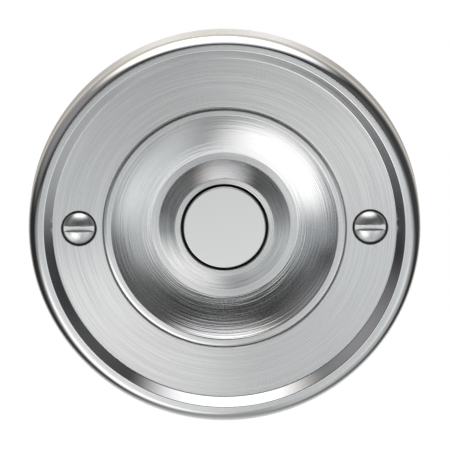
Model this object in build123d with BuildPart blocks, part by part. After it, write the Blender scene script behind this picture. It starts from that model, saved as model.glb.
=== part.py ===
"""Round turned bell push: a raised-rim backplate, a dished surround and a sprung flush button.

The part stands as it hangs on a wall: +Z up, the face looking towards -Y, the wall plane at Y = 0.
Heights are measured out from the wall plane, so a point at height h lies at Y = -h.
"""

import os
from math import sqrt

from build123d import *

os.makedirs("parts", exist_ok=True)

# Rings of the face, as widths from the button's edge outwards
button_radius = 8.0
button_gap = 0.5
boss_land_width = 1.15
bevel_run = 3.1
dish_ring_width = 1.45
dish_run = 7.9
lip_width = 0.65
lip_run = 0.85
lip_round = 1.15
annulus_width = 9.65
step_run = 1.8
land_width = 0.8
rim_round = 2.1

# Levels of the face, as steps from the wall plane outwards
flange_thickness = 1.75
surround_wall = 1.5
dish_depth = 3.5
dish_curve_radius = 16.6
lip_drop = 0.2
rim_rise = 2.0
boss_drop = 0.25
button_stand = 0.05

# Backplate: hollow back, seat for the surround and screw pillars
rim_wall = 3.4
face_wall = 2.6
seat_wall = 1.75
web_thickness = 2.25
ledge_width = 1.85
channel_round = 1.0
fixing_inset = 0.225
pillar_gap = 0.75

# Rounds that the polishing leaves on the turned edges
step_edge_round = 0.3
seat_edge_round = 0.3
dish_edge_round = 0.3
boss_edge_round = 0.3
boss_foot_round = 1.0

# Fits and small clearances
seat_clearance = 0.05
clamp_gap = 0.05
guide_clearance = 0.1
stem_clearance = 0.05
press_clearance = 0.02
stop_clearance = 0.05
contact_clearance = 0.05
thread_clearance = 0.02
slot_clearance = 0.1

# Button and its travel
button_travel = 1.5
button_edge_round = 0.25
button_cap_thickness = 2.3
button_wall = 1.6
button_flange_thickness = 1.3
shoulder_width = 1.5
shoulder_depth = 1.4

# Plunger and contact bridge
plunger_head_length = 3.3
plunger_neck_radius = 4.5
plunger_neck_length = 2.0
stem_radius = 1.9
stem_length = 4.3
stem_end_gap = 0.2
stem_tip_chamfer = 0.3
bridge_radius = 8.0
bridge_thickness = 0.8

# Contact housing
flange_lap = 1.7
flange_edge_chamfer = 0.3
barrel_wall = 1.5
floor_thickness = 2.5
guide_boss_wall = 1.05
guide_boss_drop = 0.25
rest_height = 2.85
barrier_thickness = 1.2
barrier_height = 2.2

# Return spring
spring_wire = 0.5
spring_gap = 0.75
spring_turns = 4.5

# Contact strips
strip_thickness = 0.8
strip_width = 5.0
strip_inner_bend = 0.4
strip_spring_gap = 0.35
strip_wall_gap = 0.3
strip_barrier_gap = 2.0

# Terminal screws and clamp washers
terminal_thread_radius = 1.5
terminal_thread_length = 3.4
terminal_head_radius = 2.6
terminal_head_height = 2.0
terminal_slot_width = 0.8
terminal_slot_depth = 0.9
terminal_relief = 0.3
washer_side = 5.4
washer_thickness = 0.8
washer_clearance = 0.2

# Screws that hold the housing and the surround on the backplate's web
housing_screw_inset = 2.75
housing_screw_radius = 1.25
housing_screw_head_radius = 2.3
housing_screw_length = 3.5
housing_screw_clearance = 0.2
housing_hole_depth = 1.9
housing_slot_width = 0.6
housing_slot_depth = 0.6
countersink_angle = 90

# Wood screws through the backplate
fixing_shank_radius = 1.45
fixing_thread_radius = 1.75
fixing_head_radius = 3.1
fixing_head_edge = 0.9
fixing_dome_height = 1.5
fixing_length = 25.4
fixing_point_length = 5.0
fixing_slot_width = 1.0
fixing_slot_depth = 1.3
fixing_hole_clearance = 0.25
fixing_head_gap = 0.35
fixing_bore_depth = 1.1

# Radii worked out from the ring widths
boss_bore_radius = button_radius + button_gap
boss_land_radius = boss_bore_radius + boss_land_width
bevel_foot_radius = boss_land_radius + bevel_run
dish_inner_radius = bevel_foot_radius + dish_ring_width
dish_outer_radius = dish_inner_radius + dish_run
lip_radius = dish_outer_radius + lip_width
surround_radius = lip_radius + lip_run
seat_bore_radius = surround_radius + seat_clearance
annulus_radius = seat_bore_radius + annulus_width
land_inner_radius = annulus_radius + step_run
plate_radius = land_inner_radius + land_width + rim_round
web_bore_radius = seat_bore_radius - ledge_width
spigot_radius = web_bore_radius - seat_clearance
channel_inner_radius = seat_bore_radius + seat_wall
channel_outer_radius = plate_radius - rim_wall
flange_radius = web_bore_radius + flange_lap
fixing_radius = seat_bore_radius + annulus_width / 2 - fixing_inset
pillar_radius = fixing_radius - seat_bore_radius - pillar_gap
guide_bore_radius = boss_bore_radius + shoulder_width
button_cavity_radius = button_radius - button_wall
barrel_radius = guide_bore_radius + barrel_wall

# Heights worked out from the steps
web_back_height = flange_thickness
ledge_height = web_back_height + web_thickness
surround_back_height = flange_thickness + clamp_gap
ring_height = surround_back_height + surround_wall
lip_height = ring_height + dish_depth
boss_height = lip_height - boss_drop
lip_edge_height = lip_height - lip_round + sqrt(lip_round**2 - lip_run**2)
annulus_height = lip_height + lip_drop
rim_height = annulus_height + rim_rise
channel_height = annulus_height - face_wall
button_height = boss_height + button_stand
shoulder_height = surround_back_height + shoulder_depth
button_flange_height = shoulder_height - stop_clearance
button_back_height = button_flange_height - button_flange_thickness
cavity_height = button_height - button_cap_thickness
plunger_head_back = cavity_height - plunger_head_length
bridge_front = plunger_head_back - plunger_neck_length
bridge_back = bridge_front - bridge_thickness
stem_end = bridge_front - stem_length
contact_front = bridge_back - button_travel - contact_clearance
contact_back = contact_front - strip_thickness
floor_front = contact_back - rest_height
floor_back = floor_front - floor_thickness
tab_back = floor_back - strip_thickness
washer_back = tab_back - washer_thickness

# Places across the housing, the same on its left and right
stem_bore_radius = stem_radius + stem_clearance
guide_boss_radius = stem_bore_radius + guide_boss_wall
spring_radius = guide_boss_radius + spring_gap + spring_wire / 2
contact_inner_x = spring_radius + spring_wire / 2 + strip_spring_gap
leg_outer_x = sqrt((guide_bore_radius - strip_wall_gap) ** 2 - (strip_width / 2) ** 2)
leg_middle_x = leg_outer_x - strip_thickness / 2
leg_inner_x = leg_outer_x - strip_thickness
tab_inner_x = barrier_thickness / 2 + strip_barrier_gap
terminal_x = tab_inner_x + washer_side / 2
housing_screw_place = spigot_radius - housing_screw_inset

sides = (("left", -1), ("right", 1))
ends = (("bottom", -1), ("top", 1))


def at(radius, height):
    """A point of a turned section, with the face towards -Y."""
    return (radius, -height)


def corner(section, radius, height):
    """The corner of a turned section at a point of it."""
    return section.vertices().sort_by_distance(at(radius, height))[0]


def facing(x, height, z, out):
    """A plane square to the Y axis, looking out to the front (-1) or back to the wall (1)."""
    return Plane(origin=(x, -height, z), x_dir=(1, 0, 0), z_dir=(0, out, 0))


# Backplate: turned brass, with a rounded rim, a straight step, a flat ring and a hollow back
with BuildPart() as backplate:
    with BuildSketch() as section:
        with BuildLine():
            Polyline(
                at(plate_radius - rim_round, rim_height),
                at(land_inner_radius, rim_height),
                at(annulus_radius, annulus_height),
                at(seat_bore_radius, annulus_height),
                at(seat_bore_radius, ledge_height),
                at(web_bore_radius, ledge_height),
                at(web_bore_radius, web_back_height),
                at(channel_inner_radius, web_back_height),
                at(channel_inner_radius, channel_height),
                at(channel_outer_radius, channel_height),
                at(channel_outer_radius, 0),
                at(plate_radius, 0),
                at(plate_radius, rim_height - rim_round),
            )
            RadiusArc(
                at(plate_radius, rim_height - rim_round),
                at(plate_radius - rim_round, rim_height),
                rim_round,
            )
        make_face()
        fillet(corner(section, land_inner_radius, rim_height), step_edge_round)
        fillet(corner(section, annulus_radius, annulus_height), step_edge_round)
        fillet(corner(section, seat_bore_radius, annulus_height), seat_edge_round)
        fillet(corner(section, channel_inner_radius, channel_height), channel_round)
        fillet(corner(section, channel_outer_radius, channel_height), channel_round)
    revolve(axis=Axis.Y)
    pillar_places = [facing(sign * fixing_radius, 0, 0, -1) for _, sign in sides]
    with BuildSketch(*pillar_places):
        Circle(pillar_radius)
    extrude(amount=channel_height)
    fixing_hole_radius = fixing_thread_radius + fixing_hole_clearance
    fixing_bore_radius = fixing_head_radius + fixing_head_gap
    for _, sign in sides:
        with Locations(facing(sign * fixing_radius, annulus_height, 0, -1)):
            CounterBoreHole(fixing_hole_radius, fixing_bore_radius, fixing_bore_depth)
backplate.part.label = "backplate"
export_step(backplate.part, "parts/backplate.step")

# Surround: turned dish with a rounded edge and a bevelled boss, its spigot through the web
with BuildPart() as button_surround:
    with BuildSketch() as section:
        with BuildLine():
            Polyline(
                at(lip_radius, lip_height),
                at(dish_outer_radius, lip_height),
            )
            RadiusArc(
                at(dish_outer_radius, lip_height),
                at(dish_inner_radius, ring_height),
                -dish_curve_radius,
            )
            Polyline(
                at(dish_inner_radius, ring_height),
                at(bevel_foot_radius, ring_height),
                at(boss_land_radius, boss_height),
                at(boss_bore_radius, boss_height),
                at(boss_bore_radius, shoulder_height),
                at(guide_bore_radius, shoulder_height),
                at(guide_bore_radius, surround_back_height),
                at(spigot_radius, surround_back_height),
                at(spigot_radius, ledge_height),
                at(surround_radius, ledge_height),
                at(surround_radius, lip_edge_height),
            )
            RadiusArc(
                at(surround_radius, lip_edge_height),
                at(lip_radius, lip_height),
                lip_round,
            )
        make_face()
        fillet(corner(section, dish_outer_radius, lip_height), dish_edge_round)
        fillet(corner(section, bevel_foot_radius, ring_height), boss_foot_round)
        fillet(corner(section, boss_land_radius, boss_height), boss_edge_round)
    revolve(axis=Axis.Y)
    for _, sign in ends:
        with Locations(facing(0, surround_back_height, sign * housing_screw_place, 1)):
            Hole(housing_screw_radius + thread_clearance, housing_hole_depth)
button_surround.part.label = "button_surround"
export_step(button_surround.part, "parts/button_surround.step")

# Button: turned cap with a retaining flange behind the surround's shoulder and a hollow back
with BuildPart() as push_button:
    with BuildSketch():
        with BuildLine():
            Polyline(
                at(0, button_height),
                at(button_radius, button_height),
                at(button_radius, button_flange_height),
                at(guide_bore_radius - guide_clearance, button_flange_height),
                at(guide_bore_radius - guide_clearance, button_back_height),
                at(button_cavity_radius, button_back_height),
                at(button_cavity_radius, cavity_height),
                at(0, cavity_height),
                close=True,
            )
        make_face()
    revolve(axis=Axis.Y)
    face_edge = push_button.edges().filter_by(GeomType.CIRCLE).group_by(Axis.Y)[0]
    fillet(face_edge, button_edge_round)
push_button.part.label = "push_button"
export_step(push_button.part, "parts/push_button.step")

# Plunger: moulded core pressed into the button, its shoulder on the bridge, its stem in the guide
with BuildPart() as plunger:
    with BuildSketch():
        with BuildLine():
            Polyline(
                at(0, cavity_height),
                at(button_cavity_radius - press_clearance, cavity_height),
                at(button_cavity_radius - press_clearance, plunger_head_back),
                at(plunger_neck_radius, plunger_head_back),
                at(plunger_neck_radius, bridge_front),
                at(stem_radius, bridge_front),
                at(stem_radius, stem_end + stem_tip_chamfer),
                at(stem_radius - stem_tip_chamfer, stem_end),
                at(0, stem_end),
                close=True,
            )
        make_face()
    revolve(axis=Axis.Y)
plunger.part.label = "plunger"
export_step(plunger.part, "parts/plunger.step")

# Contact bridge: brass washer on the stem, held against the plunger's shoulder by the spring
with BuildPart() as contact_bridge:
    with BuildSketch(facing(0, bridge_front, 0, 1)):
        Circle(bridge_radius)
        Circle(stem_radius + press_clearance, mode=Mode.SUBTRACT)
    extrude(amount=bridge_thickness)
contact_bridge.part.label = "contact_bridge"
export_step(contact_bridge.part, "parts/contact_bridge.step")

# Return spring: a coil round the guide boss, from the housing floor to the bridge, in tilted half turns
with BuildPart() as return_spring:
    half_turns = round(2 * spring_turns)
    coil_start = -bridge_back + spring_wire / 2
    half_pitch = (bridge_back - floor_front - spring_wire) / half_turns
    with BuildLine() as coil:
        for turn in range(half_turns):
            way = 1 if turn % 2 == 0 else -1
            ThreePointArc(
                (way * spring_radius, coil_start + turn * half_pitch, 0),
                (0, coil_start + (turn + 0.5) * half_pitch, way * spring_radius),
                (-way * spring_radius, coil_start + (turn + 1) * half_pitch, 0),
            )
    with BuildSketch(Plane(origin=coil.line @ 0, z_dir=coil.line % 0)):
        Circle(spring_wire / 2)
    sweep()
return_spring.part.label = "return_spring"
export_step(return_spring.part, "parts/return_spring.step")

# Contact housing: moulded flange and barrel, with a guide boss, contact rests and a terminal barrier
with BuildPart() as contact_housing:
    with BuildSketch():
        with BuildLine():
            Polyline(
                at(flange_radius, web_back_height),
                at(guide_bore_radius, web_back_height),
                at(guide_bore_radius, floor_front),
                at(guide_boss_radius, floor_front),
                at(guide_boss_radius, contact_front - guide_boss_drop),
                at(stem_bore_radius, contact_front - guide_boss_drop),
                at(stem_bore_radius, stem_end - button_travel - stem_end_gap),
                at(0, stem_end - button_travel - stem_end_gap),
                at(0, floor_back),
                at(barrel_radius, floor_back),
                at(barrel_radius, 0),
                at(flange_radius - flange_edge_chamfer, 0),
                at(flange_radius, flange_edge_chamfer),
                close=True,
            )
        make_face()
    revolve(axis=Axis.Y)
    rest_length = leg_inner_x - strip_inner_bend - contact_inner_x
    rest_places = [(sign * (contact_inner_x + rest_length / 2), 0) for _, sign in sides]
    with BuildSketch(facing(0, floor_front, 0, -1)):
        with Locations(*rest_places):
            Rectangle(rest_length, strip_width)
    extrude(amount=rest_height)
    with BuildSketch(facing(0, floor_back, 0, 1)):
        Rectangle(barrier_thickness, 2 * sqrt(barrel_radius**2 - (barrier_thickness / 2) ** 2))
    extrude(amount=barrier_height)
    with BuildSketch(facing(0, floor_front, 0, 1)):
        slot_length = strip_inner_bend + strip_thickness + 2 * slot_clearance
        slot_middle_x = leg_outer_x + slot_clearance - slot_length / 2
        with Locations(*[(sign * slot_middle_x, 0) for _, sign in sides]):
            Rectangle(slot_length, strip_width + 2 * slot_clearance)
    extrude(amount=floor_thickness, mode=Mode.SUBTRACT)
    for _, sign in sides:
        with Locations(facing(sign * terminal_x, floor_back, 0, 1)):
            Hole(
                terminal_thread_radius + terminal_relief,
                terminal_thread_length - washer_thickness - strip_thickness + terminal_relief,
            )
    for _, sign in ends:
        with Locations(facing(0, 0, sign * housing_screw_place, 1)):
            CounterSinkHole(
                housing_screw_radius + housing_screw_clearance,
                housing_screw_head_radius,
                counter_sink_angle=countersink_angle,
            )
contact_housing.part.label = "contact_housing"
export_step(contact_housing.part, "parts/contact_housing.step")

# Contact strips: brass, folded from the contact rest down through the floor to the terminal tab
for side, sign in sides:
    with BuildPart() as contact_strip:
        with BuildSketch():
            with BuildLine():
                FilletPolyline(
                    (sign * contact_inner_x, -contact_front + strip_thickness / 2),
                    (sign * leg_middle_x, -contact_front + strip_thickness / 2),
                    (sign * leg_middle_x, -tab_back - strip_thickness / 2),
                    (sign * tab_inner_x, -tab_back - strip_thickness / 2),
                    radius=strip_inner_bend + strip_thickness / 2,
                )
            trace(line_width=strip_thickness)
        extrude(amount=strip_width / 2, both=True)
        with Locations(facing(sign * terminal_x, tab_back, 0, 1)):
            Hole(terminal_thread_radius + thread_clearance, strip_thickness)
    contact_strip.part.label = f"contact_strip_{side}"
    export_step(contact_strip.part, f"parts/contact_strip_{side}.step")

# Terminal washers: square brass plates that clamp the wire on the tab
for side, sign in sides:
    with BuildPart() as terminal_washer:
        with BuildSketch(facing(sign * terminal_x, tab_back, 0, 1)):
            Rectangle(washer_side, washer_side)
            Circle(terminal_thread_radius + washer_clearance, mode=Mode.SUBTRACT)
        extrude(amount=washer_thickness)
    terminal_washer.part.label = f"terminal_washer_{side}"
    export_step(terminal_washer.part, f"parts/terminal_washer_{side}.step")

# Terminal screws: slotted cheese heads, threaded through the tab
for side, sign in sides:
    with BuildPart() as terminal_screw:
        with BuildSketch(facing(sign * terminal_x, washer_back, 0, -1)):
            Circle(terminal_thread_radius)
        extrude(amount=terminal_thread_length)
        with BuildSketch(facing(sign * terminal_x, washer_back, 0, 1)):
            Circle(terminal_head_radius)
        extrude(amount=terminal_head_height)
        with BuildSketch(facing(sign * terminal_x, washer_back - terminal_head_height, 0, -1)):
            Rectangle(2 * terminal_head_radius, terminal_slot_width)
        extrude(amount=terminal_slot_depth, mode=Mode.SUBTRACT)
    terminal_screw.part.label = f"terminal_screw_{side}"
    export_step(terminal_screw.part, f"parts/terminal_screw_{side}.step")

# Housing screws: slotted countersunk heads, flush in the flange, threaded into the surround
for end, sign in ends:
    with BuildPart() as housing_screw:
        screw_plane = Plane((0, 0, sign * housing_screw_place))
        with BuildSketch(screw_plane):
            with BuildLine():
                Polyline(
                    at(0, 0),
                    at(housing_screw_head_radius - thread_clearance, 0),
                    at(housing_screw_radius, housing_screw_head_radius - housing_screw_radius),
                    at(housing_screw_radius, housing_screw_length),
                    at(0, housing_screw_length),
                    close=True,
                )
            make_face()
        revolve(axis=Axis(screw_plane.origin, (0, 1, 0)))
        with BuildSketch(facing(0, 0, sign * housing_screw_place, -1)):
            Rectangle(2 * housing_screw_head_radius, housing_slot_width)
        extrude(amount=housing_slot_depth, mode=Mode.SUBTRACT)
    housing_screw.part.label = f"housing_screw_{end}"
    export_step(housing_screw.part, f"parts/housing_screw_{end}.step")

# Fixing screws: slotted round head wood screws seated in the counterbores, threaded from the wall plane on
head_seat_height = annulus_height - fixing_bore_depth
head_edge_height = head_seat_height + fixing_head_edge
head_top_height = head_edge_height + fixing_dome_height
for side, sign in sides:
    with BuildPart() as fixing_screw:
        screw_plane = Plane((sign * fixing_radius, 0, 0))
        screw_tip = head_seat_height - fixing_length
        dome_radius = (fixing_head_radius**2 + fixing_dome_height**2) / (2 * fixing_dome_height)
        with BuildSketch(screw_plane):
            with BuildLine():
                RadiusArc(
                    at(0, head_top_height),
                    at(fixing_head_radius, head_edge_height),
                    -dome_radius,
                )
                Polyline(
                    at(fixing_head_radius, head_edge_height),
                    at(fixing_head_radius, head_seat_height),
                    at(fixing_shank_radius, head_seat_height),
                    at(fixing_shank_radius, 0),
                    at(fixing_thread_radius, 0),
                    at(fixing_thread_radius, screw_tip + fixing_point_length),
                    at(0, screw_tip),
                    at(0, head_top_height),
                )
            make_face()
        revolve(axis=Axis(screw_plane.origin, (0, 1, 0)))
        with BuildSketch(facing(sign * fixing_radius, head_top_height, 0, 1)):
            Rectangle(2 * fixing_head_radius, fixing_slot_width)
        extrude(amount=fixing_slot_depth, mode=Mode.SUBTRACT)
    fixing_screw.part.label = f"fixing_screw_{side}"
    export_step(fixing_screw.part, f"parts/fixing_screw_{side}.step")
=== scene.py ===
"""Looks of a round satin chrome bell push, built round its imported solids.

Sizes are in millimetres, turned into metres as the meshes are made: +Z up, the face towards -Y.
Heights are measured out from the wall plane at Y = 0, so a point at height h lies at Y = -h.
"""

from math import cos, radians, sin, sqrt, tan, tau

import bmesh
import bpy
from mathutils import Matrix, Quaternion, Vector


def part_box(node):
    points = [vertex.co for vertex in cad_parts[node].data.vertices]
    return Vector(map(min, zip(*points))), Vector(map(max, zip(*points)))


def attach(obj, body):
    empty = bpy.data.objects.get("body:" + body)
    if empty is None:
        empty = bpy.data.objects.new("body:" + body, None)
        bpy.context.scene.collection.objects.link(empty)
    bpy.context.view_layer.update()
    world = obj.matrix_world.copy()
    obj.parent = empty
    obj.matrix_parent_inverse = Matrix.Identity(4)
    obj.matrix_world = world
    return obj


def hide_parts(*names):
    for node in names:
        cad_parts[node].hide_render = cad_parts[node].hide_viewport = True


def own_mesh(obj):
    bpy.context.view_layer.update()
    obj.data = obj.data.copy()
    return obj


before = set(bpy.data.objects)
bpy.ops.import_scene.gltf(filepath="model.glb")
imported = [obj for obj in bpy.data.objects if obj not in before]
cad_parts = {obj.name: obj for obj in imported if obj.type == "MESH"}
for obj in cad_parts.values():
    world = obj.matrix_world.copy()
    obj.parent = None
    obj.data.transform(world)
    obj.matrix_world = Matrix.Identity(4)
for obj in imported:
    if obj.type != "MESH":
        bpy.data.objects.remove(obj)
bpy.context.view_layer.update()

# Backplate: a rose turned from brass bar, with a rounded rim, a straight step and a flat ring.
# It is satin chromed: the ring is brushed on the lathe, the rim and the step are polished.
# Its hollow back stands on the wall by the rim and by two pillars round the fixing holes.
MM = 0.001
UM = 0.000001
SHARP_EDGE = radians(32)  # edges bent by more than this are shaded sharp
ARC_STEPS = 8  # faces across a rounded edge
GUARD = 0.04  # a narrow face beside each rounded edge keeps the flat beyond it evenly shaded
WELD = 0.0005  # points nearer than this are joined
CUT_PAST = 1.0  # how far a cutting shape stands clear of what it cuts
INTO = 0.2  # how far two shapes that are welded reach into each other
FACE_SLACK = 0.01  # room for the faces of a turned wall, whose middles lie just inside its radius
LEVEL_FACE = -0.995  # a face whose normal has a lower Y than this looks straight out
NOISE_LOW, NOISE_HIGH = 0.3, 0.7  # nearly all of a noise lies between these
MARKS_PER_RADIAN = 1.4  # how often a tool mark fades out and in again on its way round
MARK_DULL, MARK_BRIGHT = 0.35, 0.65  # where on the noise a tool mark is dullest and brightest
QUARTER_TURN = 0.25  # turns the smear from along the tool marks to across them

plate_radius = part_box("backplate")[1].x / MM
rim_height = -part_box("backplate")[0].y / MM
rim_round = 2.1
land_inner_radius = 35.1
annulus_radius = 33.3
annulus_height = 7.0
step_edge_round = 0.3
seat_radius = 23.65
seat_edge_round = 0.2
ledge_height = 4.0
web_bore_radius = 21.8
web_back_height = 1.75
channel_inner_radius = 25.4
channel_outer_radius = 34.6
channel_height = 4.4
channel_round = 1.0
back_edge_round = 0.2
fixing_x = sum(corner.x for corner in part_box("fixing_screw_right")) / 2 / MM
pillar_radius = 3.85
fixing_hole_radius = 2.0
fixing_bore_radius = 3.45
fixing_bore_depth = 1.1
fixing_bore_break = 0.08


def outline(corners):
    """Points of a section: each corner is (radius, height, round), joined to the next by a straight run."""
    points = []
    for index, (radius, height, bend) in enumerate(corners):
        here = Vector((radius, height))
        if bend == 0:
            points.append(here)
            continue
        back = (Vector(corners[index - 1][:2]) - here).normalized()
        onward = (Vector(corners[(index + 1) % len(corners)][:2]) - here).normalized()
        half = back.angle(onward) / 2
        reach = bend / tan(half)
        centre = here + (back + onward).normalized() * bend / sin(half)
        points.append(here + back * (reach + GUARD))
        for step in range(ARC_STEPS + 1):
            chord = (here + back * reach).lerp(here + onward * reach, step / ARC_STEPS)
            points.append(centre + (chord - centre).normalized() * bend)
        points.append(here + onward * (reach + GUARD))
    return points


def turned(points, steps=256):
    """Spin a section about the button's axis; one that starts on the axis closes there, others are rings."""
    shape = bmesh.new()
    verts = [shape.verts.new((radius * MM, -height * MM, 0)) for radius, height in points]
    runs = list(zip(verts, verts[1:]))
    if points[0][0] > 0:
        runs.append((verts[-1], verts[0]))
    edges = [shape.edges.new(run) for run in runs]
    bmesh.ops.spin(
        shape, geom=verts + edges, cent=(0, 0, 0), axis=(0, 1, 0), angle=tau, steps=steps, use_merge=True
    )
    bmesh.ops.remove_doubles(shape, verts=shape.verts, dist=WELD * MM)
    bmesh.ops.recalc_face_normals(shape, faces=shape.faces)
    return shape


def moved(shape, x, z):
    """Shift a shape across the plate."""
    bmesh.ops.translate(shape, verts=shape.verts, vec=(x * MM, 0, z * MM))
    return shape


def combined(shape, tool, operation):
    """Weld two closed shapes into one, or cut the first by the second."""
    pair = []
    for name, part in (("work", shape), ("tool", tool)):
        mesh = bpy.data.meshes.new(name)
        part.to_mesh(mesh)
        part.free()
        pair.append(bpy.data.objects.new(name, mesh))
        bpy.context.scene.collection.objects.link(pair[-1])
    modifier = pair[0].modifiers.new("combine", "BOOLEAN")
    modifier.operation = operation
    modifier.solver = "EXACT"
    modifier.object = pair[1]
    graph = bpy.context.evaluated_depsgraph_get()
    result = bpy.data.meshes.new_from_object(pair[0].evaluated_get(graph))
    shape = bmesh.new()
    shape.from_mesh(result)
    bmesh.ops.remove_doubles(shape, verts=shape.verts, dist=WELD * MM)
    bpy.data.meshes.remove(result)
    for made in pair:
        bpy.data.meshes.remove(made.data)
    return shape


def piece(shape, node, body, slot, *materials):
    """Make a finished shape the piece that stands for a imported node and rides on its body."""
    for face in shape.faces:
        face.smooth = True
    for edge in shape.edges:
        if edge.is_manifold and edge.calc_face_angle() > SHARP_EDGE:
            edge.smooth = False
    mesh = bpy.data.meshes.new(f"{node}_mesh")
    shape.to_mesh(mesh)
    shape.free()
    for material in materials:
        mesh.materials.append(material)
    made = bpy.data.objects.new(f"{node}_finished", mesh)
    bpy.context.scene.collection.objects.link(made)
    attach(made, body)
    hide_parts(node)
    return made


def linear(hex_colour):
    """An sRGB hex colour as linear red, green, blue and alpha."""
    channels = [int(hex_colour[place : place + 2], 16) / 255 for place in (1, 3, 5)]
    return [c / 12.92 if c <= 0.04045 else ((c + 0.055) / 1.055) ** 2.4 for c in channels] + [1.0]


def add(tree, kind, inputs=None, **settings):
    """Add one shader node, with its settings, and its inputs as values or as sockets to link."""
    made = tree.nodes.new(kind)
    for name, value in settings.items():
        setattr(made, name, value)
    for key, value in (inputs or {}).items():
        if isinstance(value, bpy.types.NodeSocket):
            tree.links.new(value, made.inputs[key])
        else:
            made.inputs[key].default_value = value
    return made


def finish(name, colour, metallic, roughness, **constants):
    """Start a material: its node tree and its shader, with the plain values set."""
    material = bpy.data.materials.new(name)
    material.use_nodes = True
    shader = material.node_tree.nodes["Principled BSDF"]
    shader.inputs["Base Color"].default_value = linear(colour)
    shader.inputs["Metallic"].default_value = metallic
    shader.inputs["Roughness"].default_value = roughness
    for key, value in constants.items():
        shader.inputs[key.replace("_", " ").title()].default_value = value
    return material, material.node_tree, shader


def uneven_gloss(tree, shader, noise, roughness, spread):
    """Let a shader's roughness swing with a noise, by spread to either side."""
    gloss = add(
        tree,
        "ShaderNodeMapRange",
        {
            "Value": noise,
            "From Min": NOISE_LOW,
            "From Max": NOISE_HIGH,
            "To Min": roughness - spread,
            "To Max": roughness + spread,
        },
    ).outputs["Result"]
    tree.links.new(gloss, shader.inputs["Roughness"])


def turned_chrome(name, colour, roughness, spread, pitch, depth, streak, anisotropic, lean=0.0):
    """Chrome over turned brass: rings of fine marks that smear what the metal mirrors out from the middle.

    The marks are about 0.02 mm apart on the real plate. Here they are as coarse as it takes to see them:
    pitch apart in millimetres and depth deep in micrometres, which sets how far they tilt the mirror.
    They also dull it by the share streak. Given a lean, they lean out and fall so much over the radius.
    """
    material, tree, shader = finish(
        name, colour, metallic=1.0, roughness=roughness, anisotropic=anisotropic,
        anisotropic_rotation=QUARTER_TURN,
    )
    place = add(tree, "ShaderNodeTexCoord").outputs["Object"]
    flat = add(
        tree, "ShaderNodeVectorMath", {0: place, 1: (1, 0, 1)}, operation="MULTIPLY"
    ).outputs["Vector"]
    radius = add(tree, "ShaderNodeVectorMath", {0: flat}, operation="LENGTH").outputs["Value"]
    rings = add(tree, "ShaderNodeMath", {0: radius, 1: 1 / (pitch * MM)}, operation="MULTIPLY").outputs[0]
    around = add(tree, "ShaderNodeVectorMath", {0: flat}, operation="NORMALIZE").outputs["Vector"]
    arcs = add(
        tree, "ShaderNodeVectorMath", {0: around, "Scale": MARKS_PER_RADIAN}, operation="SCALE"
    ).outputs["Vector"]
    out = add(tree, "ShaderNodeCombineXYZ", {"Y": rings}).outputs["Vector"]
    spot = add(tree, "ShaderNodeVectorMath", {0: arcs, 1: out}, operation="ADD").outputs["Vector"]
    marks = add(
        tree, "ShaderNodeTexNoise", {"Vector": spot, "Scale": 1.0, "Detail": 1.0, "Roughness": 0.6}
    ).outputs["Fac"]
    uneven_gloss(tree, shader, marks, roughness, spread)
    bright = linear(colour)
    tone = add(tree, "ShaderNodeValToRGB", {"Fac": marks})
    tone.color_ramp.elements[0].position = MARK_DULL
    tone.color_ramp.elements[0].color = [channel * (1 - streak) for channel in bright[:3]] + [1.0]
    tone.color_ramp.elements[1].position = MARK_BRIGHT
    tone.color_ramp.elements[1].color = bright
    tree.links.new(tone.outputs["Color"], shader.inputs["Base Color"])
    leaning = add(tree, "ShaderNodeMath", {0: radius, 1: -lean}, operation="MULTIPLY").outputs[0]
    height = add(
        tree, "ShaderNodeMath", {0: marks, 1: depth * UM, 2: leaning}, operation="MULTIPLY_ADD"
    ).outputs[0]
    bump = add(tree, "ShaderNodeBump", {"Height": height, "Strength": 1.0, "Distance": 1.0})
    tangent = add(tree, "ShaderNodeTangent", direction_type="RADIAL", axis="Y").outputs["Tangent"]
    tree.links.new(bump.outputs["Normal"], shader.inputs["Normal"])
    tree.links.new(tangent, shader.inputs["Tangent"])
    return material


def grained(name, colour, roughness, spread, grain, depth, metallic=1.0, **constants):
    """A finish with an even fine grain: grain across in millimetres, depth deep in micrometres.

    The grain is drawn coarser than a real one, so that it can be seen.
    """
    material, tree, shader = finish(name, colour, metallic, roughness, **constants)
    place = add(tree, "ShaderNodeTexCoord").outputs["Object"]
    specks = add(
        tree, "ShaderNodeTexNoise", {"Vector": place, "Scale": 1 / (grain * MM), "Detail": 3.0}
    ).outputs["Fac"]
    uneven_gloss(tree, shader, specks, roughness, spread)
    bump = add(tree, "ShaderNodeBump", {"Height": specks, "Strength": 1.0, "Distance": depth * UM})
    tree.links.new(bump.outputs["Normal"], shader.inputs["Normal"])
    return material


plate = turned(
    outline(
        [
            (plate_radius, rim_height, rim_round),
            (land_inner_radius, rim_height, step_edge_round),
            (annulus_radius, annulus_height, step_edge_round),
            (seat_radius, annulus_height, seat_edge_round),
            (seat_radius, ledge_height, 0),
            (web_bore_radius, ledge_height, back_edge_round),
            (web_bore_radius, web_back_height, back_edge_round),
            (channel_inner_radius, web_back_height, back_edge_round),
            (channel_inner_radius, channel_height, channel_round),
            (channel_outer_radius, channel_height, channel_round),
            (channel_outer_radius, 0, back_edge_round),
            (plate_radius, 0, back_edge_round),
        ]
    )
)
bore_floor = annulus_height - fixing_bore_depth
hole_section = [
    (0, annulus_height + CUT_PAST),
    (fixing_bore_radius + fixing_bore_break + CUT_PAST, annulus_height + CUT_PAST),
    (fixing_bore_radius, annulus_height - fixing_bore_break),
    (fixing_bore_radius, bore_floor),
    (fixing_hole_radius, bore_floor),
    (fixing_hole_radius, -CUT_PAST),
    (0, -CUT_PAST),
]
pillar_section = [
    (0, channel_height + back_edge_round),
    (pillar_radius, channel_height + back_edge_round),
    (pillar_radius, back_edge_round),
    (pillar_radius - back_edge_round, 0),
    (0, 0),
]
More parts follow.
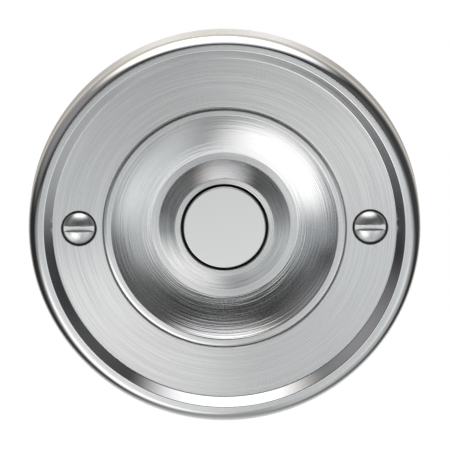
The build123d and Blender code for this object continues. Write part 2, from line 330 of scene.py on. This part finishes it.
for side in (-1, 1):
    plate = combined(plate, moved(turned(pillar_section, steps=96), side * fixing_x, 0), "UNION")
    plate = combined(plate, moved(turned(hole_section, steps=96), side * fixing_x, 0), "DIFFERENCE")
# Faces low in the fixing bores get the dull plating whose dark colour is painted shade.
for face in plate.faces:
    middle = face.calc_center_median() / MM
    from_axis = sqrt(middle.x**2 + middle.z**2)
    from_screw = sqrt((abs(middle.x) - fixing_x) ** 2 + middle.z**2)
    if from_axis > annulus_radius and -middle.y > annulus_height and face.normal.y > LEVEL_FACE:
        face.material_index = 1
    elif from_screw < fixing_bore_radius and middle.y > -bore_floor - INTO:
        face.material_index = 2
    elif from_axis < seat_radius + FACE_SLACK and middle.y > -annulus_height + seat_edge_round:
        face.material_index = 3
# Brushed satin chrome on the ring: its marks smear the light into soft fans that widen from the middle.
brushed_chrome = turned_chrome(
    "brushed_satin_chrome", "#E8E9EA", roughness=0.3, spread=0.04,
    pitch=0.3, depth=5.0, streak=0.24, anisotropic=1.0,
)
# Polished chrome on the rim and the step: hard bands, dark at the sides and white at the bottom.
# Its marks lean out in the shading alone, so that the step mirrors as if it sloped at about 40 degrees.
polished_chrome = turned_chrome(
    "polished_chrome", "#DEDFE0", roughness=0.1, spread=0.02,
    pitch=0.4, depth=0.8, streak=0.03, anisotropic=0.9, lean=0.21,
)
# Dull plating low in the fixing holes and on the button's side, its dark colour painted shade: a soft
# painted dark line round each.
recess_painted_shade_chrome = grained("dull_chrome_painted_shade", "#5C5750", roughness=0.6, spread=0.1, grain=0.3, depth=4.0)
# Dull plating on the seat's wall and in the surround's bore: it keeps those gaps from going black.
seat_chrome = grained("dull_seat_chrome", "#C4C3C0", roughness=0.7, spread=0.08, grain=0.3, depth=2.0)
piece(
    plate, "backplate", "base", "satin_chrome",
    brushed_chrome, polished_chrome, recess_painted_shade_chrome, seat_chrome,
)

# Surround: a dished ring turned from brass, let into the backplate's bore, with a boss round the button.
# Its dish carries the coarsest brush marks of the face, and its rounded lip leaves a dark line round it.
# Two screws from behind draw it and the contact housing together on the backplate's web.
surround_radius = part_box("button_surround")[1].x / MM
lip_height = -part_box("button_surround")[0].y / MM
lip_flat_radius = 22.75
lip_round = 1.4
dish_outer_radius = 22.1
dish_inner_radius = 14.2
dish_curve_radius = 16.6
dish_edge_round = 0.3
ring_height = 3.3
ring_edge_round = 0.3
boss_foot_radius = 12.75
boss_foot_round = 0.3
boss_land_radius = 9.65
boss_height = 6.55
boss_edge_round = 0.3
boss_bore_radius = 8.5
bore_edge_round = 0.2
back_round = 0.1
shoulder_height = 3.2
guide_bore_radius = 10.0
surround_back_height = 1.8
spigot_radius = 21.75
housing_screw_z = 19.0
housing_screw_hole_radius = 1.27
housing_screw_hole_depth = 1.9
LIP_STEPS = 10
DISH_STEPS = 28


def arc(start, end, radius, steps):
    """Corners along an arc between two points of a section, without the two; a negative radius sags."""
    start, end = Vector(start), Vector(end)
    along = end - start
    across = Vector((along.y, -along.x)).normalized() * sqrt(radius**2 - along.length_squared / 4)
    if (across.y > 0) != (radius < 0):
        across = -across
    centre = (start + end) / 2 + across
    first = start - centre
    turn = first.angle_signed(end - centre)
    turns = [Quaternion((0, 0, 1), turn * step / steps).to_matrix().to_2x2() for step in range(1, steps)]
    rays = [first @ turned_by for turned_by in turns]
    return [(centre.x + ray.x, centre.y + ray.y, 0) for ray in rays]


def rod(radius, front, back):
    """A plain rod about the button's axis between two heights, to cut a hole with."""
    return turned([(0, front), (radius, front), (radius, back), (0, back)], steps=48)


lip_edge_height = lip_height - lip_round + sqrt(lip_round**2 - (surround_radius - lip_flat_radius) ** 2)
lip_edge = (surround_radius, lip_edge_height)
lip_start = (lip_flat_radius, lip_height)
dish_edge = (dish_outer_radius, lip_height)
dish_foot = (dish_inner_radius, ring_height)
surround = turned(
    outline(
        [
            (*lip_edge, 0),
            *arc(lip_edge, lip_start, lip_round, LIP_STEPS),
            (*lip_start, 0),
            (lip_flat_radius - GUARD, lip_height, 0),
            (*dish_edge, dish_edge_round),
            *arc(dish_edge, dish_foot, -dish_curve_radius, DISH_STEPS),
            (*dish_foot, ring_edge_round),
            (boss_foot_radius, ring_height, boss_foot_round),
            (boss_land_radius, boss_height, boss_edge_round),
            (boss_bore_radius, boss_height, bore_edge_round),
            (boss_bore_radius, shoulder_height, 0),
            (guide_bore_radius, shoulder_height, 0),
            (guide_bore_radius, surround_back_height, back_round),
            (spigot_radius, surround_back_height, back_round),
            (spigot_radius, ledge_height, 0),
            (surround_radius, ledge_height, back_round),
        ]
    )
)
hole_front = surround_back_height + housing_screw_hole_depth
for end in (-1, 1):
    tapped_hole = rod(housing_screw_hole_radius, hole_front, surround_back_height - CUT_PAST)
    surround = combined(surround, moved(tapped_hole, 0, end * housing_screw_z), "DIFFERENCE")
for face in surround.faces:
    middle = face.calc_center_median() / MM
    from_axis = sqrt(middle.x**2 + middle.z**2)
    if from_axis < boss_bore_radius + FACE_SLACK and middle.y > -boss_height + bore_edge_round:
        face.material_index = 1
    elif dish_inner_radius < from_axis < dish_outer_radius and face.normal.y < 0:
        face.material_index = 2
    elif from_axis > lip_flat_radius and LEVEL_FACE < face.normal.y < 0:
        face.material_index = 3
# Coarsely brushed chrome in the dish: its marks stand out as rings of light and dark.
dish_chrome = turned_chrome(
    "brushed_dish_chrome", "#DFE0E1", roughness=0.17, spread=0.03,
    pitch=0.3, depth=55.0, streak=0.02, anisotropic=1.0,
)
# Polished chrome on the lip: a fine bright edge beside the dark line of the joint.
lip_chrome = turned_chrome(
    "polished_lip_chrome", "#DEDFE0", roughness=0.2, spread=0.02,
    pitch=0.4, depth=0.8, streak=0.03, anisotropic=0.9,
)
piece(
    surround, "button_surround", "base", "satin_chrome",
    brushed_chrome, seat_chrome, dish_chrome, lip_chrome,
)

# Button: a flat cap turned from brass, satin chromed like the plate but to a finer, even grain.
# A flange behind the surround's shoulder keeps it in, and its hollow back takes the plunger.
button_radius = 8.0
button_height = -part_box("push_button")[0].y / MM
button_edge_round = 0.25
button_flange_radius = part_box("push_button")[1].x / MM
button_flange_height = 3.15
button_back_height = -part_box("push_button")[1].y / MM
button_cavity_radius = 6.4
button_cavity_height = 4.3
button_back_round = 0.1

button = turned(
    outline(
        [
            (0, button_height, 0),
            (button_radius, button_height, button_edge_round),
            (button_radius, button_flange_height, 0),
            (button_flange_radius, button_flange_height, button_back_round),
            (button_flange_radius, button_back_height, button_back_round),
            (button_cavity_radius, button_back_height, button_back_round),
            (button_cavity_radius, button_cavity_height, 0),
            (0, button_cavity_height, 0),
        ]
    ),
    steps=192,
)
# The button's side gets the dull plating whose dark colour is painted shade.
for face in button.faces:
    middle = face.calc_center_median() / MM
    from_axis = sqrt(middle.x**2 + middle.z**2)
    if from_axis > button_radius - FACE_SLACK and middle.y > -button_height + button_edge_round:
        face.material_index = 1
# Fine satin chrome: an even, soft sheen without rings, so that the button looks flat beside the dish.
button_chrome = grained("fine_satin_chrome", "#D8D9D9", roughness=0.3, spread=0.02, grain=0.12, depth=0.2)
piece(button, "push_button", "button", "satin_chrome", button_chrome, recess_painted_shade_chrome)

# Plunger: a core moulded from natural nylon, pressed into the button so that no current reaches the face.
# Its stem slides in the contact housing and its neck bears on the contact bridge.
plunger_front_height = -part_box("plunger")[0].y / MM
plunger_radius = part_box("plunger")[1].x / MM
plunger_head_back = 1.0
plunger_neck_radius = 4.5
plunger_neck_back = -1.0
stem_radius = 1.9
stem_end = -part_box("plunger")[1].y / MM
moulded_round = 0.2
stem_tip_round = 0.4

plunger = turned(
    outline(
        [
            (0, plunger_front_height, 0),
            (plunger_radius, plunger_front_height, moulded_round),
            (plunger_radius, plunger_head_back, moulded_round),
            (plunger_neck_radius, plunger_head_back, 0),
            (plunger_neck_radius, plunger_neck_back, moulded_round),
            (stem_radius, plunger_neck_back, 0),
            (stem_radius, stem_end, stem_tip_round),
            (0, stem_end, 0),
        ]
    ),
    steps=96,
)
# Natural nylon: milky and off white, lit a little from within.
natural_nylon = grained(
    "natural_nylon", "#E5E0D0", roughness=0.42, spread=0.06, grain=0.4, depth=6.0, metallic=0.0,
    subsurface_weight=0.15,
)
piece(plunger, "plunger", "button", "natural_nylon", natural_nylon)

# Contact bridge: a washer stamped from brass sheet, pushed over the plunger's stem up to its neck.
# When the button goes in, it meets the two contact strips and closes the bell's circuit.
bridge_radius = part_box("contact_bridge")[1].x / MM
bridge_front_height = -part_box("contact_bridge")[0].y / MM
bridge_back_height = -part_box("contact_bridge")[1].y / MM
bridge_bore_radius = 1.92
stamped_round = 0.1

bridge = turned(
    outline(
        [
            (bridge_radius, bridge_front_height, stamped_round),
            (bridge_bore_radius, bridge_front_height, stamped_round),
            (bridge_bore_radius, bridge_back_height, stamped_round),
            (bridge_radius, bridge_back_height, stamped_round),
        ]
    ),
    steps=96,
)
# Rolled brass: warm yellow with a soft, slightly uneven shine.
rolled_brass = grained("rolled_brass", "#E0C27A", roughness=0.27, spread=0.06, grain=0.6, depth=3.0)
piece(bridge, "contact_bridge", "button", "contact_brass", rolled_brass)

# Return spring: a coil of drawn steel wire between the housing's floor and the bridge.
# It is squeezed from its seat on the floor as the button goes in.
spring_wire_radius = 0.25
spring_turns = 4.5
spring_mean_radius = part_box("return_spring")[1].x / MM - spring_wire_radius
spring_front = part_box("return_spring")[0].y / MM
spring_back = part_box("return_spring")[1].y / MM
COIL_STEPS = 54  # faces along each turn

coil = bmesh.new()
wire = bmesh.ops.create_circle(coil, cap_ends=True, segments=14, radius=spring_wire_radius * MM)["verts"]
first_turn_y = (spring_front + spring_wire_radius) * MM
bmesh.ops.translate(coil, verts=wire, vec=(spring_mean_radius * MM, first_turn_y, 0))
coil_steps = int(COIL_STEPS * spring_turns)
rise = (spring_back - spring_front - 2 * spring_wire_radius) * MM / coil_steps
bmesh.ops.spin(
    coil, geom=coil.verts[:] + coil.edges[:] + coil.faces[:], cent=(0, 0, 0), axis=(0, 1, 0),
    dvec=(0, rise, 0), angle=tau * spring_turns, steps=coil_steps, use_duplicate=False,
)
bmesh.ops.recalc_face_normals(coil, faces=coil.faces)
# Drawn spring steel: grey wire with a narrow shine along each turn.
spring_steel = grained("drawn_spring_steel", "#A9A9AB", roughness=0.28, spread=0.05, grain=0.15, depth=1.5)
spring = piece(coil, "return_spring", "base", "spring_steel", spring_steel)
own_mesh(spring)

# Contact housing: a cup moulded from black phenolic, with a flange against the backplate's web.
# Inside are rests for the strips and a guide for the stem; behind, a barrier parts the two terminals.
housing_flange_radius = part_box("contact_housing")[1].x / MM
housing_flange_front = -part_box("contact_housing")[0].y / MM
floor_front_height = -7.0
floor_back_height = -9.5
guide_boss_radius = 3.0
guide_boss_height = -3.6
stem_bore_radius = 1.95
barrel_radius = 11.5
barrel_round = 0.5
flange_round = 0.25
rest_front_height = -4.15
rest_inner_x = 4.6
rest_outer_x = 8.17
strip_half_width = 2.5
strip_slot_outer_x = 9.47
strip_slot_inner_x = 8.07
strip_slot_half_width = 2.6
barrier_half_thickness = 0.6
barrier_round = 0.15
barrier_back_height = -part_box("contact_housing")[1].y / MM
terminal_x = sum(corner.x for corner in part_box("terminal_screw_right")) / 2 / MM
terminal_hole_radius = 1.8
terminal_hole_front = -7.4
housing_screw_clear_radius = 1.45
housing_screw_mouth_radius = 2.3


def block(low, high):
    """A block between two corners, each given as x, height and z."""
    shape = bmesh.new()
    bmesh.ops.create_cube(shape, size=1)
    bmesh.ops.scale(shape, verts=shape.verts, vec=[abs(b - a) * MM for a, b in zip(low, high)])
    middle = [(a + b) / 2 * MM for a, b in zip(low, high)]
    bmesh.ops.translate(shape, verts=shape.verts, vec=(middle[0], -middle[1], middle[2]))
    return shape


def rounded(shape, edges, size, segments):
    """Round some of a shape's edges over."""
    bmesh.ops.bevel(
        shape, geom=edges, offset=size * MM, offset_type="OFFSET", segments=segments, profile=0.5,
        affect="EDGES", material=-1,
    )


housing = turned(
    outline(
        [
            (0, floor_front_height, 0),
            (stem_bore_radius, floor_front_height, 0),
            (stem_bore_radius, guide_boss_height, back_round),
            (guide_boss_radius, guide_boss_height, back_round),
            (guide_boss_radius, floor_front_height, 0),
            (guide_bore_radius, floor_front_height, barrel_round),
            (guide_bore_radius, housing_flange_front, back_round),
            (housing_flange_radius, housing_flange_front, flange_round),
            (housing_flange_radius, 0, flange_round),
            (barrel_radius, 0, barrel_round),
            (barrel_radius, floor_back_height, barrel_round),
            (0, floor_back_height, 0),
        ]
    ),
    steps=160,
)
barrier_half_length = sqrt(barrel_radius**2 - barrier_half_thickness**2) - barrel_round
barrier = block(
    (-barrier_half_thickness, barrier_back_height, -barrier_half_length),
    (barrier_half_thickness, floor_back_height + INTO, barrier_half_length),
)
rounded(barrier, barrier.edges[:], barrier_round, segments=2)
housing = combined(housing, barrier, "UNION")
for side in (-1, 1):
    rest = block(
        (side * rest_inner_x, floor_front_height - INTO, -strip_half_width),
        (side * rest_outer_x, rest_front_height, strip_half_width),
    )
    housing = combined(housing, rest, "UNION")
    strip_slot = block(
        (side * strip_slot_inner_x, floor_back_height - CUT_PAST, -strip_slot_half_width),
        (side * strip_slot_outer_x, floor_front_height + INTO, strip_slot_half_width),
    )
    housing = combined(housing, strip_slot, "DIFFERENCE")
    terminal_hole = rod(terminal_hole_radius, terminal_hole_front, floor_back_height - CUT_PAST)
    housing = combined(housing, moved(terminal_hole, side * terminal_x, 0), "DIFFERENCE")
    screw_hole = [
        (0, housing_flange_front + CUT_PAST),
        (housing_screw_clear_radius, housing_flange_front + CUT_PAST),
        (housing_screw_clear_radius, housing_screw_mouth_radius - housing_screw_clear_radius),
        (housing_screw_mouth_radius + CUT_PAST, -CUT_PAST),
        (0, -CUT_PAST),
    ]
    housing = combined(housing, moved(turned(screw_hole, steps=48), 0, side * housing_screw_z), "DIFFERENCE")
# Black phenolic: near black and half glossy, with the faintly wavy skin of a moulding.
black_phenolic = grained(
    "black_phenolic", "#1B1917", roughness=0.36, spread=0.08, grain=0.5, depth=5.0, metallic=0.0
)
piece(housing, "contact_housing", "base", "black_phenolic", black_phenolic)

# Contact strips: two pieces of brass strip, each folded to a channel round the housing's floor.
# The front end lies on a rest under the bridge. The leg goes through a slot in the floor.
# The back end is the tab of a terminal, where the wire is clamped.
SIDES = (("left", -1), ("right", 1))
strip_thickness = 0.8
strip_bend = 0.4
strip_edge_round = 0.15
strip_hole_radius = 1.7
contact_front_height = -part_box("contact_strip_right")[0].y / MM
tab_back_height = -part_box("contact_strip_right")[1].y / MM
contact_inner_x = 4.6
leg_outer_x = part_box("contact_strip_right")[1].x / MM
tab_inner_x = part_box("contact_strip_right")[0].x / MM


def sheared(points, half_width):
    """A strip with the outline of its edge given as x and height, equally wide to both sides."""
    shape = bmesh.new()
    verts = [shape.verts.new((x * MM, -height * MM, -half_width * MM)) for x, height in points]
    grown = bmesh.ops.extrude_face_region(shape, geom=[shape.faces.new(verts)])["geom"]
    far = [part for part in grown if isinstance(part, bmesh.types.BMVert)]
    bmesh.ops.translate(shape, verts=far, vec=(0, 0, 2 * half_width * MM))
    bmesh.ops.recalc_face_normals(shape, faces=shape.faces)
    return shape


strip_outline = outline(
    [
        (contact_inner_x, contact_front_height, strip_edge_round),
        (leg_outer_x, contact_front_height, strip_bend + strip_thickness),
        (leg_outer_x, tab_back_height, strip_bend + strip_thickness),
        (tab_inner_x, tab_back_height, strip_edge_round),
        (tab_inner_x, tab_back_height + strip_thickness, strip_edge_round),
        (leg_outer_x - strip_thickness, tab_back_height + strip_thickness, strip_bend),
        (leg_outer_x - strip_thickness, contact_front_height - strip_thickness, strip_bend),
        (contact_inner_x, contact_front_height - strip_thickness, strip_edge_round),
    ]
)
for side_name, side in SIDES:
    strip = sheared([(side * x, height) for x, height in strip_outline], strip_half_width)
    strip_hole = rod(strip_hole_radius, tab_back_height + strip_thickness + INTO, tab_back_height - INTO)
    strip = combined(strip, moved(strip_hole, side * terminal_x, 0), "DIFFERENCE")
    piece(strip, f"contact_strip_{side_name}", "base", "contact_brass", rolled_brass)

# Terminal washers: square washers stamped from brass sheet, one under each terminal screw's head.
# Each clamps the bare end of a bell wire on its strip's tab.
washer_half = 2.7
washer_back_height = -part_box("terminal_washer_right")[1].y / MM
washer_front_height = -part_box("terminal_washer_right")[0].y / MM
washer_hole_radius = 1.7
washer_round = 0.15

for side_name, side in SIDES:
    washer = block(
        (-washer_half, washer_back_height, -washer_half), (washer_half, washer_front_height, washer_half)
    )
    rounded(washer, washer.edges[:], washer_round, segments=3)
    washer_hole = rod(washer_hole_radius, washer_front_height + INTO, washer_back_height - INTO)
    washer = moved(combined(washer, washer_hole, "DIFFERENCE"), side * terminal_x, 0)
    piece(washer, f"terminal_washer_{side_name}", "base", "contact_brass", rolled_brass)

# Terminal screws: slotted cheese head screws turned from brass rod.
# Each goes through its washer and the strip's tab into a hole in the back of the housing's floor.
FLANK_START, CREST_START, CREST_END = 0.3, 0.6, 0.7  # of a thread's ridge, in shares of the pitch
SPARE_TURNS = 2  # wound past each end of a thread and cut off again
THREAD_WELD = 0.002  # points of a thread nearer than this are joined
WALL_SLACK = 0.001  # an edge this near to a slot's wall lies on it
FLOOR_MARGIN = 0.03  # edges nearer than this to a slot's floor stay sharp
SLOT_BREAK = 0.07  # round on a slot's long edges
terminal_head_radius = 2.6
terminal_head_back = -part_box("terminal_screw_right")[1].y / MM
terminal_tip_height = -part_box("terminal_screw_right")[0].y / MM
terminal_head_round = 0.35
terminal_seat_round = 0.1
terminal_tip_taper = 0.35
terminal_crest = 1.5
terminal_root = 1.22
terminal_pitch = 0.5
terminal_slot_half = 0.4
terminal_slot_depth = 0.9


def threaded(root, crest, pitch, front, back, held_to, steps=48):
    """A threaded rod between two heights: a ridge wound round it, its radius held to held_to(height)."""
    shape = bmesh.new()
    ridge = ((root, 0), (root, FLANK_START), (crest, CREST_START), (crest, CREST_END), (root, 1))
    verts = [
        shape.verts.new((radius * MM, (share * pitch - front - SPARE_TURNS * pitch) * MM, 0))
        for radius, share in ridge
    ]
    edges = [shape.edges.new(run) for run in zip(verts, verts[1:])]
    turns = int((front - back) / pitch) + 2 * SPARE_TURNS
    bmesh.ops.spin(
        shape, geom=verts + edges, cent=(0, 0, 0), axis=(0, 1, 0), dvec=(0, pitch * MM / steps, 0),
        angle=tau * turns, steps=steps * turns,
    )
    bmesh.ops.remove_doubles(shape, verts=shape.verts, dist=THREAD_WELD * MM)
    for height, way in ((front, -1), (back, 1)):
        geom = shape.verts[:] + shape.edges[:] + shape.faces[:]
        bmesh.ops.bisect_plane(
            shape, geom=geom, plane_co=(0, -height * MM, 0), plane_no=(0, way, 0), clear_outer=True
        )
    for vert in shape.verts:
        from_axis = sqrt(vert.co.x**2 + vert.co.z**2)
        held = min(1, held_to(-vert.co.y / MM) * MM / from_axis)
        vert.co = (vert.co.x * held, vert.co.y, vert.co.z * held)
    bmesh.ops.remove_doubles(shape, verts=shape.verts, dist=THREAD_WELD * MM)
    bmesh.ops.holes_fill(shape, edges=[edge for edge in shape.edges if edge.is_boundary])
    bmesh.ops.recalc_face_normals(shape, faces=shape.faces)
    return shape


def slotted(shape, half_width, floor, top, reach):
    """Saw a level slot across a head, down to floor, and break its two long edges."""
    cut = block((-reach, floor, -half_width), (reach, top, half_width))
    shape = combined(shape, cut, "DIFFERENCE")
    low, high = (floor + FLOOR_MARGIN, top) if floor < top else (top, floor - FLOOR_MARGIN)
    lips = []
    for edge in shape.edges:
        on_wall = all(abs(abs(vert.co.z) - half_width * MM) < WALL_SLACK * MM for vert in edge.verts)
        inside = all(low < -vert.co.y / MM < high for vert in edge.verts)
        if on_wall and inside and edge.is_manifold and edge.calc_face_angle() > SHARP_EDGE:
            lips.append(edge)
    rounded(shape, lips, SLOT_BREAK, segments=2)
    return shape


# Turned brass: as yellow as the strips but a little sharper in its shine.
turned_brass = grained("turned_brass", "#DFC078", roughness=0.22, spread=0.05, grain=0.3, depth=2.0)
for side_name, side in SIDES:
    screw = turned(
        outline(
            [
                (0, terminal_head_back, 0),
                (terminal_head_radius, terminal_head_back, terminal_head_round),
                (terminal_head_radius, washer_back_height, terminal_seat_round),
                (terminal_root, washer_back_height, 0),
                (terminal_root, washer_back_height + INTO, 0),
                (0, washer_back_height + INTO, 0),
            ]
        ),
        steps=72,
    )
    thread = threaded(
        terminal_root, terminal_crest, terminal_pitch, terminal_tip_height, washer_back_height - INTO,
        lambda height: terminal_crest - max(0, terminal_tip_taper - (terminal_tip_height - height)),
    )
    screw = combined(screw, thread, "UNION")
    screw = slotted(
        screw, terminal_slot_half, terminal_head_back + terminal_slot_depth, terminal_head_back - CUT_PAST,
        terminal_head_radius + CUT_PAST,
    )
    screw = moved(screw, side * terminal_x, 0)
    piece(screw, f"terminal_screw_{side_name}", "base", "contact_brass", turned_brass)

# Housing screws: small slotted machine screws of zinc plated steel, with countersunk heads.
# They go through the housing's flange into the surround and draw the two together on the backplate's web.
housing_head_radius = 2.28
housing_head_back = 0.0
housing_head_round = 0.06
housing_tip_taper = 0.25
housing_crest = 1.25
housing_root = 1.02
housing_pitch = 0.45
housing_tip_height = -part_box("housing_screw_top")[0].y / MM
housing_slot_half = 0.3
housing_slot_depth = 0.6

# Bright zinc: a pale, cool grey with an uneven shine.
bright_zinc = grained("bright_zinc", "#C3C5C4", roughness=0.3, spread=0.08, grain=0.4, depth=2.5)
for end_name, end in (("bottom", -1), ("top", 1)):
    screw = turned(
        outline(
            [
                (0, housing_head_back, 0),
                (housing_head_radius, housing_head_back, housing_head_round),
                (housing_root, housing_head_radius - housing_root, 0),
                (housing_root, housing_head_radius - housing_root + INTO, 0),
                (0, housing_head_radius - housing_root + INTO, 0),
            ]
        ),
        steps=72,
    )
    thread = threaded(
        housing_root, housing_crest, housing_pitch, housing_tip_height, housing_head_radius - housing_crest,
        lambda height: housing_crest - max(0, housing_tip_taper - (housing_tip_height - height)),
    )
    screw = combined(screw, thread, "UNION")
    screw = slotted(
        screw, housing_slot_half, housing_head_back + housing_slot_depth, housing_head_back - CUT_PAST,
        housing_head_radius + CUT_PAST,
    )
    screw = moved(screw, 0, end * housing_screw_z)
    piece(screw, f"housing_screw_{end_name}", "base", "zinc_steel", bright_zinc)

# Fixing screws: slotted round head wood screws rolled from steel wire and chromed bright.
# Each is driven through a pillar of the backplate until its head seats in the counterbore, slot level.
screw_head_radius = 3.1
screw_head_edge = 0.9
screw_dome_height = 1.5
screw_head_round = 0.12
screw_seat_round = 0.1
screw_shank_radius = 1.45
screw_crest = 1.75
screw_root = 1.2
screw_pitch = 1.4
screw_tip = -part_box("fixing_screw_right")[1].y / MM
screw_point_length = 5.0
screw_tip_radius = 0.06
screw_tip_trim = 0.01
screw_slot_half = 0.5
screw_slot_depth = 1.3
DOME_STEPS = 14


def screw_reach(height):
    """How far the wood screw's thread stands out: less where it runs out at the shank and the point."""
    run_out = screw_shank_radius + (screw_crest - screw_shank_radius) * min(1, max(0, -height / screw_pitch))
    point = screw_crest * (height - screw_tip) / screw_point_length
    return max(screw_tip_radius, min(run_out, point))


# Bright screw chrome: blurred just enough for each dome to carry one soft light, with its slot dark across.
screw_chrome = grained("bright_screw_chrome", "#DEDFE0", roughness=0.32, spread=0.04, grain=0.5, depth=0.4)
head_seat = bore_floor
head_edge = (screw_head_radius, head_seat + screw_head_edge)
head_top = (0, head_seat + screw_head_edge + screw_dome_height)
dome_radius = (screw_head_radius**2 + screw_dome_height**2) / (2 * screw_dome_height)
for side_name, side in SIDES:
    screw = turned(
        outline(
            [
                (*head_top, 0),
                *arc(head_top, head_edge, dome_radius, DOME_STEPS),
                (*head_edge, screw_head_round),
                (screw_head_radius, head_seat, screw_seat_round),
                (screw_shank_radius, head_seat, 0),
                (screw_shank_radius, -INTO, 0),
                (0, -INTO, 0),
            ]
        ),
        steps=96,
    )
    thread = threaded(
        screw_root, screw_crest, screw_pitch, INTO, screw_tip + screw_tip_trim, screw_reach, steps=64
    )
    screw = combined(screw, thread, "UNION")
    screw = slotted(
        screw, screw_slot_half, head_top[1] - screw_slot_depth, head_top[1] + CUT_PAST,
        screw_head_radius + CUT_PAST,
    )
    screw = moved(screw, side * fixing_x, 0)
    piece(screw, f"fixing_screw_{side_name}", "base", "screw_chrome", screw_chrome)

# Studio: a pale floor well below, white surroundings, and a close tent of cards that only the metal mirrors.
# The cards are bright overhead, below and just under the lens, dim or dark at the sides and above it.
# That gap between bright and dark is what gives the chrome its bands.
FLOOR_DROP = 1.0
FLOOR_HALF = 3.0
TENT_RADIUS = 0.35
DARK_CLOTH = (0.03, 0.03, 0.03)
# Each card: degrees to the right and up, spread in degrees, light in red, green and blue.
CARDS = (
    ((0, 85), 42, (1.6, 1.58, 1.6)),
    ((-100, 72), 35, (1.5, 1.44, 1.31)),
    ((95, 74), 32, (0.88, 0.88, 0.9)),
    ((-34, -42), 35, (1.42, 1.41, 1.39)),
    ((-24, -30), 24, (0.3, 0.26, 0.23)),
    ((28, -22), 40, (0.46, 0.47, 0.47)),
    ((60, -40), 40, (0.5, 0.51, 0.51)),
    ((0, -14), 21, (0.98, 0.99, 0.99)),
    ((-32, -12), 26, (0.32, 0.34, 0.35)),
    ((46, -10), 30, (0.2, 0.21, 0.21)),
    ((0, -78), 36, (0.36, 0.36, 0.36)),
    ((-57, -14), 20, (0.32, 0.33, 0.34)),
    ((-60, -40), 30, (0.18, 0.18, 0.19)),
    ((-88, 32), 38, (0.3, 0.29, 0.3)),
    ((-50, 28), 26, (0.08, 0.08, 0.08)),
    ((50, 28), 26, (0.08, 0.08, 0.08)),
    ((100, 20), 45, (0.03, 0.03, 0.035)),
    ((180, 18), 72, (0.8, 0.75, 0.67)),
    ((180, -40), 50, (0.7, 0.7, 0.7)),
)


def staged(name, shape, material):
    """Put a shape in the studio, apart from the object."""
    mesh = bpy.data.meshes.new(name)
    shape.to_mesh(mesh)
    shape.free()
    mesh.materials.append(material)
    made = bpy.data.objects.new(name, mesh)
    bpy.context.scene.collection.objects.link(made)
    return made


def towards(azimuth, elevation):
    """A direction out from the face, in degrees to its right and up."""
    a, e = radians(azimuth), radians(elevation)
    return (sin(a) * cos(e), -cos(a) * cos(e), sin(e))


def tent_cards(cards):
    """Soft edged cards, each by direction, spread in degrees and light, added up round the object."""
    material = bpy.data.materials.new("tent_cards")
    material.use_nodes = True
    tree = material.node_tree
    tree.nodes.remove(tree.nodes["Principled BSDF"])
    place = add(tree, "ShaderNodeTexCoord").outputs["Object"]
    way = add(tree, "ShaderNodeVectorMath", {0: place}, operation="NORMALIZE").outputs["Vector"]
    light = DARK_CLOTH
    for direction, spread, level in cards:
        facing = add(
            tree, "ShaderNodeVectorMath", {0: way, 1: towards(*direction)}, operation="DOT_PRODUCT"
        ).outputs["Value"]
        share = add(
            tree,
            "ShaderNodeMapRange",
            {"Value": facing, "From Min": cos(radians(spread)), "From Max": 1.0},
            interpolation_type="SMOOTHSTEP",
        ).outputs["Result"]
        light = add(
            tree, "ShaderNodeVectorMath", {0: share, 1: level, 2: light}, operation="MULTIPLY_ADD"
        ).outputs["Vector"]
    glow = add(tree, "ShaderNodeEmission", {"Color": light})
    tree.links.new(glow.outputs["Emission"], tree.nodes["Material Output"].inputs["Surface"])
    return material


floor = bmesh.new()
bmesh.ops.create_grid(floor, x_segments=1, y_segments=1, size=FLOOR_HALF)
bmesh.ops.translate(floor, verts=floor.verts, vec=(0, 0, -FLOOR_DROP))
# White paper on the floor: matt, so that it only throws a little pale light up.
floor_paper = finish("floor_paper", "#F4F4F2", metallic=0.0, roughness=0.9)[0]
staged("floor", floor, floor_paper)

tent_shape = bmesh.new()
bmesh.ops.create_uvsphere(tent_shape, u_segments=96, v_segments=48, radius=TENT_RADIUS)
tent = staged("tent", tent_shape, tent_cards(CARDS))
for ray in ("camera", "diffuse", "transmission", "volume_scatter", "shadow"):
    setattr(tent, f"visible_{ray}", False)

world = bpy.data.worlds.new("white_room")
world.use_nodes = True
world.node_tree.nodes["Background"].inputs["Color"].default_value = (1, 1, 1, 1)
world.node_tree.nodes["Background"].inputs["Strength"].default_value = 1.0
bpy.context.scene.world = world

# Camera: far off and a little above, as the photograph was taken, with the plate filling the frame.
# It is shifted so that the ring's middle falls on the same pixel as it does there.
IMAGE_PIXELS = 450
PIXEL_SIZE = 0.1939
CAMERA_DISTANCE = 1.7
CAMERA_ELEVATION = 9.8
CAMERA_ROLL = -0.3
CLIP_END = 20
RING_CENTRE_PIXEL = (224.1, 227.3)

camera_data = bpy.data.cameras.new("camera")
camera = bpy.data.objects.new("camera", camera_data)
bpy.context.scene.collection.objects.link(camera)
bpy.context.scene.camera = camera
camera_data.lens = camera_data.sensor_width * CAMERA_DISTANCE / (IMAGE_PIXELS * PIXEL_SIZE * MM)
camera_data.clip_end = CLIP_END
aim = Vector(towards(0, CAMERA_ELEVATION)).to_track_quat("Z", "Y")
turn = aim @ Quaternion((0, 0, 1), radians(CAMERA_ROLL))
middle_pixel = (IMAGE_PIXELS - 1) / 2
off_centre = Vector(
    (
        (middle_pixel - RING_CENTRE_PIXEL[0]) * PIXEL_SIZE * MM,
        (RING_CENTRE_PIXEL[1] - middle_pixel) * PIXEL_SIZE * MM,
        CAMERA_DISTANCE,
    )
)
camera.location = Vector((0, -annulus_height * MM, 0)) + turn @ off_centre
camera.rotation_mode = "QUATERNION"
camera.rotation_quaternion = turn
bpy.context.scene.view_settings.view_transform = "Standard"
